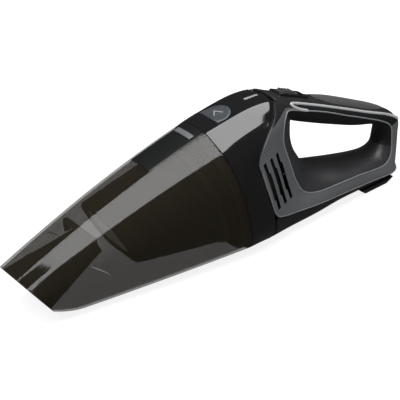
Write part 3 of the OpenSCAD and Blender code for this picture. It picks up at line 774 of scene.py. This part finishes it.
def make_collar():
    outer = np.array([collar_ring(s) for s in COLLAR_SHARES])
    outer = outer - np.array(COLLAR_DEPTH)[:, None, None] * normals(outer, True, False)
    collar = skin("collar_shell", outer, inner_skin(outer, WALL), bevel=0.15)
    well = prism("well", button_outline(0.6), -6, 8, BUTTON_AT, 0)
    middle = sum(LED_X) / 2
    wide = LED_X[1] - LED_X[0]
    slot = prism("slot", [(x + middle, y) for x, y in rounded(wide + 0.2, 2 * LED_HALF + 0.2, 0.8)],
                 110, 130, bevel=0)
    cut(collar, [well, slot])
    piece(collar, "body", "gloss_black", "gloss_black", "motor_collar")
    lens = prism("light_window", [(x + middle, y) for x, y in rounded(wide, 2 * LED_HALF, 0.8)], *LED_Z)
    piece(lens, "body", "lens_white", "lens", "led_lens")


def make_button():
    outline = button_outline()
    k = len(outline)

    def level(shrink, lift):
        """A ring of the cap's top, raised at its front edge and along its middle."""
        pts = []
        for x, y in outline:
            cx, cy = 8 + (x - 8) * shrink, y * shrink
            rise = 1.1 * max(0.0, 1 - (x / 9)) ** 2
            pts.append((cx, cy, lift + rise + 0.5 * (1 - (y / BUTTON_R) ** 2)))
        return pts

    rings = [[(x, y, BUTTON_SKIRT) for x, y in outline]] + [level(*pair) for pair in BUTTON_LEVELS]
    verts = [p for r in rings for p in r]
    faces = [tuple(range(k))[::-1], tuple(range((len(rings) - 1) * k, len(rings) * k))]
    for i in range(len(rings) - 1):
        for j in range(k):
            h = (j + 1) % k
            faces.append((i * k + j, i * k + h, (i + 1) * k + h, (i + 1) * k + j))
    cap = new_object("cap", verts, faces, 40)
    stem = prism("stem", [(BUTTON_FLAT + x, y) for x, y in rounded(8, 8, 1)], -5.8, -2.5, bevel=0.2)
    obj = join("button_cap", [cap, stem])
    obj.data.transform(BUTTON_AT)
    piece(obj, "latch", "button_grey", "button", "release_button")
    mark = prism("button_mark", CHEVRON, 1.4, 2.7, BUTTON_AT, 0.15)
    piece(mark, "latch", "button_grey", "rim")


# ---- handle: each row is outer edge, edge of the finger opening, inner crown ----
# The rows run from the grip's front over the grip, down the rear wall, forwards along the lower beam
# and up behind the collar. A place in the grid is counted in rows times FINE.
HANDLE_ROWS = [
    [(60, 17, 118.5), (70, 22, 107.5), (82, 0, 89)],
    [(76, 16.5, 111.5), (86, 20.5, 102), (88, 0, 85.5)],
    [(104, 16, 100), (110, 20, 93), (108, 0, 77)],
    [(132, 16, 88), (133.5, 19.5, 82), (130, 0, 68.5)],
    [(161, 15, 75), (157.5, 18, 71), (152, 0, 60.5)],
    [(187, 12.5, 63.5), (178, 15.5, 60.5), (171, 0, 56)],
    [(199.3, 12, 54.5), (189.5, 13, 51), (180, 0, 52)],
    [(198.3, 12.5, 42), (189.5, 14, 38), (184, 0, 44)],
    [(195, 14.5, 27), (186.5, 16, 25), (181, 0, 35)],
    [(190.5, 18, 16.5), (178, 19, 19), (173, 0, 30)],
    [(186, 21.5, 9), (164, 22, 19.5), (160, 0, 29)],
    [(153.5, 26.5, 11.4), (143, 25.5, 22.5), (140, 0, 31)],
    [(120.5, 31, 13.7), (117, 29, 24.5), (120, 0, 36)],
    [(88, 36.5, 16.6), (92, 30.5, 25.5), (102, 0, 41.5)],
    [(62, 41, 20.5), (76, 30.5, 31), (92, 0, 46.5)],
    [(44, 45.5, 24), (68, 30.5, 44), (87, 0, 56)],
    [(32, 49, 30), (64, 30.5, 57), (82, 0, 65)],
    [(25.5, 50, 50), (60, 30.5, 71), (79.3, 0, 73.5)],
    [(21, 48.5, 70), (57, 30.2, 83), (79, 0, 79.5)],
    [(19.5, 46, 84), (57.5, 29.5, 91.5), (79.3, 0, 84)],
    [(34, 39.5, 100), (60, 27.5, 98.5), (80, 0, 87)],
    [(50, 28.5, 109.5), (64, 24.8, 104.5), (80.5, 0, 88.5)]]
FINE = 8
EDGE = [curve([r[c] for r in HANDLE_ROWS], FINE, True) for c in range(3)]
CROWN_START = math.radians(35)
CROWN_STEPS = 14
SIDE_STEPS = [0, 0.02, 0.2, 0.4, 0.6, 0.8, 0.93, 0.975]
SIDE_SWELL_MM = 3
OPENING_MIDDLE = np.array([128.0, 62.0])
# rows whose opening wall gets the dark charcoal painted shade; the other rows get black painted shade
SHADE_CHARCOAL_ROWS = (7.5, 21.3)
STRIP_ROWS = (0.9, 6)
CHEEK_ROWS = 1.6
TRIM_ROWS = (9.2, 18.6)
VENTS = [(31.5, 57), (41, 57.5), (50, 58)]
VENT_HALF = 24
VENT_LEAN = 12.5
VENT_STEPS = [(-2.8, 24), (0.9, 24), (0.9, 14), (2.6, 12), (2.8, -24), (-0.9, -24), (-0.9, -14), (-2.6, -12)]


def side_point(u, s, lift=0.0):
    """A point on the flat side, at the share s from outer edge to finger opening."""
    o, n = EDGE[0][u % len(EDGE[0])], EDGE[1][u % len(EDGE[0])]
    p = lerp(o, n, s)
    return np.array([p[0], -p[1] - SIDE_SWELL_MM * s * (1 - s) - lift, p[2]])


def side_at(u, s, lift):
    """The same for a place between two lines of the handle's grid."""
    low = math.floor(u)
    return lerp(side_point(low, s, lift), side_point(low + 1, s, lift), u - low)


def crown_point(u, a):
    """A point on the rounded wall of the finger opening, a being the angle from the side."""
    n, c = EDGE[1][u % len(EDGE[0])], EDGE[2][u % len(EDGE[0])]
    s = (math.sin(a) - math.sin(CROWN_START)) / (1 - math.sin(CROWN_START))
    return np.array([lerp(n[0], c[0], s), -max(0.05, n[1] * math.cos(a) / math.cos(CROWN_START)),
                     lerp(n[2], c[2], s)])


def handle_line(u):
    """One line of the handle's grid, from the outer edge to the middle of the crown."""
    o, n = (EDGE[c][u % len(EDGE[c])] for c in (0, 1))
    gap = SEAM_GAP / np.linalg.norm(n - o)
    side = [side_point(u, gap + (1 - gap) * s) for s in SIDE_STEPS]
    crown = [crown_point(u, CROWN_START + (math.pi / 2 - CROWN_START) * k / CROWN_STEPS)
             for k in range(CROWN_STEPS + 1)]
    edge = [arc3(side[-1], crown[0], crown[1], s) for s in (0.25, 0.5, 0.75)]
    return side + edge + crown[1:]


def vent_outline(x, z):
    """A leaning slot, narrower at its top towards -X and at its bottom towards +X."""
    lean = math.radians(VENT_LEAN)
    return [(x + a * math.cos(lean) - b * math.sin(lean), z + a * math.sin(lean) + b * math.cos(lean))
            for a, b in VENT_STEPS]


def paint_opening_shade(obj):
    """Paints shade on the crown round the finger opening: black under the grip, dark charcoal elsewhere,
    both painted shade on the same charcoal plastic.
    """
    obj.data.materials.append(MATS["painted_shade_black"])
    obj.data.materials.append(MATS["painted_shade_charcoal"])
    edge = EDGE[1][:, [0, 2]]
    spokes = edge - OPENING_MIDDLE
    angles = np.arctan2(spokes[:, 1], spokes[:, 0])
    order = np.argsort(angles)
    for face in obj.data.polygons:
        x, _, z = face.center / MM
        spoke = np.array([x, z]) - OPENING_MIDDLE
        angle = math.atan2(spoke[1], spoke[0])
        reach = np.interp(angle, angles[order], np.linalg.norm(spokes, axis=1)[order], period=2 * math.pi)
        if np.linalg.norm(spoke) < reach - 0.1:
            row = int(np.argmin(np.hypot(*(edge - (x, z)).T))) / FINE
            face.material_index = 2 if SHADE_CHARCOAL_ROWS[0] <= row <= SHADE_CHARCOAL_ROWS[1] else 1


def paint_vent_shade(obj):
    """Paints shade on the inner walls of the air outlets: black painted shade on the charcoal shell."""
    for face in obj.data.polygons:
        c = face.center
        inside = any(abs(c.x / MM - x) < 8 and abs(c.z / MM - z) < VENT_HALF for x, z in VENTS)
        if inside and abs(c.y) > 0.03 and abs(face.normal.y) < 0.25:
            face.material_index = 1


def make_handle():
    g = np.array([handle_line(u) for u in range(len(EDGE[0]))])
    half = skin("panel_left", g, inner_skin(g, WALL, ring=False, loop=True, thin=0.4, flat=True),
                ring=False, loop=True, bevel=0.2)
    cutters = [prism("vent", vent_outline(x, z)[::-1], -60, -25, SWAP_YZ, 0) for x, z in VENTS]
    for c in cutters:
        c.data.flip_normals()
    left = cut(half, cutters)
    right = mirrored(left, "panel_right")
    for panel, node in ((left, "handle_left_shell"), (right, "handle_right_shell")):
        piece(panel, "body", "matte_charcoal", "charcoal", node)
        # painted shade on the walls of the finger opening and of the air outlets
        paint_opening_shade(panel)
        paint_vent_shade(panel)
    finish_mesh(right)


def make_vent_screens():
    """A dark sheet behind the air outlets of each side."""
    grid = np.array([[(x, -41.2 + 0.53 * (x - 25.5), z) for z in np.linspace(84, 32, 9)]
                     for x in np.linspace(22, 60, 9)])
    both_sides(skin("vent_screen", grid, grid + [0.2, 0.5, 0], ring=False), "body", "satin_black", "foam")


def make_grip_sides():
    """On each side: strip, bead and shoulder of the grip, rim of the opening, trim along the beam; the light
    grey of bead, rim and trim is a painted highlight on rounded edges.
    """
    total = len(EDGE[0])
    first, last = (int(row * FINE) for row in STRIP_ROWS)
    rows = []
    for u in range(first, last + 1):
        k = min(1.0, (u - first + 0.4) / 4)
        pinch = 0.5 - 0.46 * math.sqrt(1 - (1 - k) ** 2)
        rows.append([side_point(u, s, 0.3) for s in np.linspace(pinch, 1 - pinch * 1.2, 9)])
    g = np.array(rows)
    strip = skin("grip_side", g, g + [0, 0.7, 0], ring=False)
    back = total - int(CHEEK_ROWS * FINE)
    shoulder = []
    for u in range(back, total + first + 3):
        k = min(1.0, (u - back + 0.5) / 9)
        reach = 0.62 * k if u < total + 5 else 0.62
        shoulder.append([side_point(u, s, 0.25) for s in np.linspace(0.03, 0.08 + reach, 9)])
    h = np.array(shoulder)
    cheek = skin("grip_cheek", h, h + [0, 0.7, 0], ring=False)
    # the grip's bead, light grey as a painted highlight on its rounded shoulder
    nose = [side_at(first + 3.5 - 4.5 * math.sin(a), 0.47 - 0.46 * math.cos(a), 0.35)
            for a in np.linspace(0, math.pi, 13)]
    arm = [side_point(u, 0.0, 0.3) for u in range(last, first + 4, -2)]
    highlight_bead = tube("grip_bead", curve(np.array(arm + nose), 2), 1.3, 12)
    # a thin light line round the opening: painted highlight on the crease's rounded edge
    ring = [side_at(u, 0.985, 0.15) for u in np.arange(0, total, 1.0)]
    rim = tube("opening_rim", np.array(ring), 0.6, 8, True)
    # a thin light line along the panel's lower edge: painted highlight
    lower = [side_at(u, 0.02, 0.05) for u in range(*(int(row * FINE) for row in TRIM_ROWS))]
    trim = tube("panel_edge", np.array(lower), 0.4, 8)
    for obj, mat, slot in ((strip, "inner_black", "satin_black"), (cheek, "satin_black", "satin_black"),
                           (highlight_bead, "highlight_bead", "matte_charcoal"), (rim, "rim", "matte_charcoal"),
                           (trim, "rim", "matte_charcoal")):
        both_sides(obj, "body", slot, mat)


# ---- spine over the handle and down the rear wall ----
SPINE_MID = [(61, 0, 120.3), (77, 0, 115), (105, 0, 104), (134, 0, 92.3), (162, 0, 79.5), (188, 0, 67),
             (199.8, 0, 57.5), (200.4, 0, 45), (197.3, 0, 29), (193, 0, 17.5), (188.5, 0, 5.4)]
SPINE_LINE = curve(SPINE_MID, FINE)
SPINE_INSET = 0.5
SWITCH_AT = at((86, 0, 111.6), 21.5)
JACK_AT = at((194.8, 0, 22.4), 111)
BEZEL_X = (-16, 17)
BEZEL_HALF = 8.5
SPINE_HALF_SHARES = [1, 0.97, 0.9, 0.75, 0.6, 0.45, 0.3, 0.15]
INLAY_ROWS = (2.2, 5.1)
INLAY_HALF = 0.78
RIB_X = (-8.6, -5.2, -1.8, 1.6)


def spine_point(u, f, up=0.0):
    """A point on the spine, at the share f of the way from its middle to the side."""
    c, e = SPINE_LINE[u], EDGE[0][u]
    return np.array([lerp(c[0], e[0], f * f), (e[1] - SPINE_INSET) * f, lerp(c[2], e[2], f * f) + up])


def make_spine():
    shares = SPINE_HALF_SHARES + [0] + [-f for f in SPINE_HALF_SHARES[::-1]]
    g = np.array([[spine_point(u, f) for f in shares] for u in range(len(SPINE_LINE))])
    spine = skin("spine_shell", g, inner_skin(g, WALL, ring=False, thin=0.4, thin_end=0.4), ring=False,
                 bevel=0.25)
    mid = sum(BEZEL_X) / 2
    wide = BEZEL_X[1] - BEZEL_X[0]
    window = prism("window", [(mid + x, y) for x, y in rounded(wide + 0.2, 2 * BEZEL_HALF + 0.2, 2)], -10,
                   20, SWITCH_AT, 0)
    socket = prism("socket", circle(4.3, 40), -10, 10, JACK_AT, 0)
    cut(spine, [window, socket])
    piece(spine, "body", "satin_black", "satin_black", "spine_cover")


def make_inlay():
    first, last = (int(row * FINE) for row in INLAY_ROWS)
    rows, under = [], []
    for u in range(first, last + 1):
        end = min(u - first, last - u) / 7
        k = INLAY_HALF * math.sqrt(max(0.08, 1 - (1 - min(1, end)) ** 2))
        fs = np.linspace(k, -k, 17)
        swell = min(1.0, 0.25 + end)
        rows.append([spine_point(u, f, 0.25 + 1.3 * swell * (1 - (f / k) ** 4)) for f in fs])
        under.append([spine_point(u, f, 0.05) for f in fs])
    inlay = skin("inlay", np.array(rows), np.array(under), ring=False)
    piece(inlay, "body", "soft_black", "soft_black", "grip_inlay")


def make_switch():
    mid = sum(BEZEL_X) / 2
    wide = BEZEL_X[1] - BEZEL_X[0]
    bezel = prism("bezel", [(mid + x, y) for x, y in rounded(wide, 2 * BEZEL_HALF, 2)], -3.2, 0.9,
                  SWITCH_AT, 0.5)
    opening = prism("opening", [(0.25 + x, y) for x, y in rounded(26.5, 12.6, 1)], -6, 6, SWITCH_AT, 0)
    cut(bezel, [opening])
    piece(bezel, "body", "gloss_black", "gloss_black", "switch_bezel")
    slide = prism("slide", [(-2.5 + x, y) for x, y in rounded(18, 11.6, 1.5)], -1, 1.9, bevel=0.5)
    stem = prism("slide_stem", [(-2 + x, y) for x, y in rounded(4, 4, 0.5)], -4.6, -0.9, bevel=0.1)
    ribs = [prism("rib", [(x + a, b) for a, b in rounded(1.6, 10.6, 0.7)], 1.7, 3.3, bevel=0.4)
            for x in RIB_X]
    thumb = join("slide_button", [slide, stem] + ribs)
    thumb.data.transform(SWITCH_AT)
    piece(thumb, "switch", "soft_black", "soft_black", "power_switch")


# ---- base cover and foot: each row is x, half width and z of the edge, then x and z of the bottom ----
BASE_ROWS = [[33, 48.4, 26.8, 36.5, 0], [44, 45.2, 23.3, 46, 0], [62, 40.8, 19.8, 62, 0],
             [88, 36.2, 15.9, 88, 0.8], [106, 33, 14.1, 106, 2.4], [120, 30.7, 12.9, 120, 3.6],
             [136, 28.6, 11.8, 136, 4], [151, 26.4, 10.8, 151, 4], [168, 24, 9.5, 169, 4],
             [184.8, 21.2, 8.2, 185.9, 4.6]]
FOOT_PROFILE = [(144.5, 3.8), (149.5, 0), (176.5, 0), (186, 3.9)]
FOOT_HALF = (25, 20.5)


def base_half(row):
    """One side of a line across the base, from its edge down to its middle."""
    x_edge, w, z_edge, x_low, z_low = row
    low = (x_low, 0.52 * w, z_low)
    ctl = (lerp(x_edge, x_low, 0.7), 0.93 * w, lerp(z_low, z_edge, 0.06))
    side = [arc3((x_edge, w, z_edge), ctl, low, s) for s in np.linspace(0, 1, 17)]
    return np.array(side + [(x_low, 0.25 * w, z_low), (x_low, 0, z_low)])


def make_base():
    rows = curve(BASE_ROWS, 5)
    g = []
    for r in rows:
        h = base_half(r)
        g.append(np.vstack([h * [1, -1, 1], h[-2::-1]]))
    g = np.array(g)
    g[:, :, 2] = np.maximum(g[:, :, 2], 0)
    base = skin("base_shell", g, inner_skin(g, WALL, ring=False, thin=0.3, thin_end=0.3), ring=False,
                bevel=0.25)
    piece(base, "body", "satin_black", "satin_black", "base_cover")
    front_x, rear_x = FOOT_PROFILE[0][0], FOOT_PROFILE[-1][0]
    rings = [[(x, f * lerp(*FOOT_HALF, (x - front_x) / (rear_x - front_x)), z) for x, z in FOOT_PROFILE]
             for f in (-1, 1)]
    k = len(FOOT_PROFILE)
    foot = new_object("foot", rings[0] + rings[1],
                      [tuple(range(k)), tuple(range(k, 2 * k))[::-1]]
                      + [((i + 1) % k, i, k + i, k + (i + 1) % k) for i in range(k)], bevel=0.5)
    piece(foot, "body", "soft_black", "satin_black", "rear_foot")


make_camera()
make_floor()
make_lights()
make_cup()
make_strip_parts()
make_duct()
make_flap()
make_filter()
make_collar()
make_button()
make_handle()
make_vent_screens()
make_grip_sides()
make_spine()
make_inlay()
make_switch()
make_base()
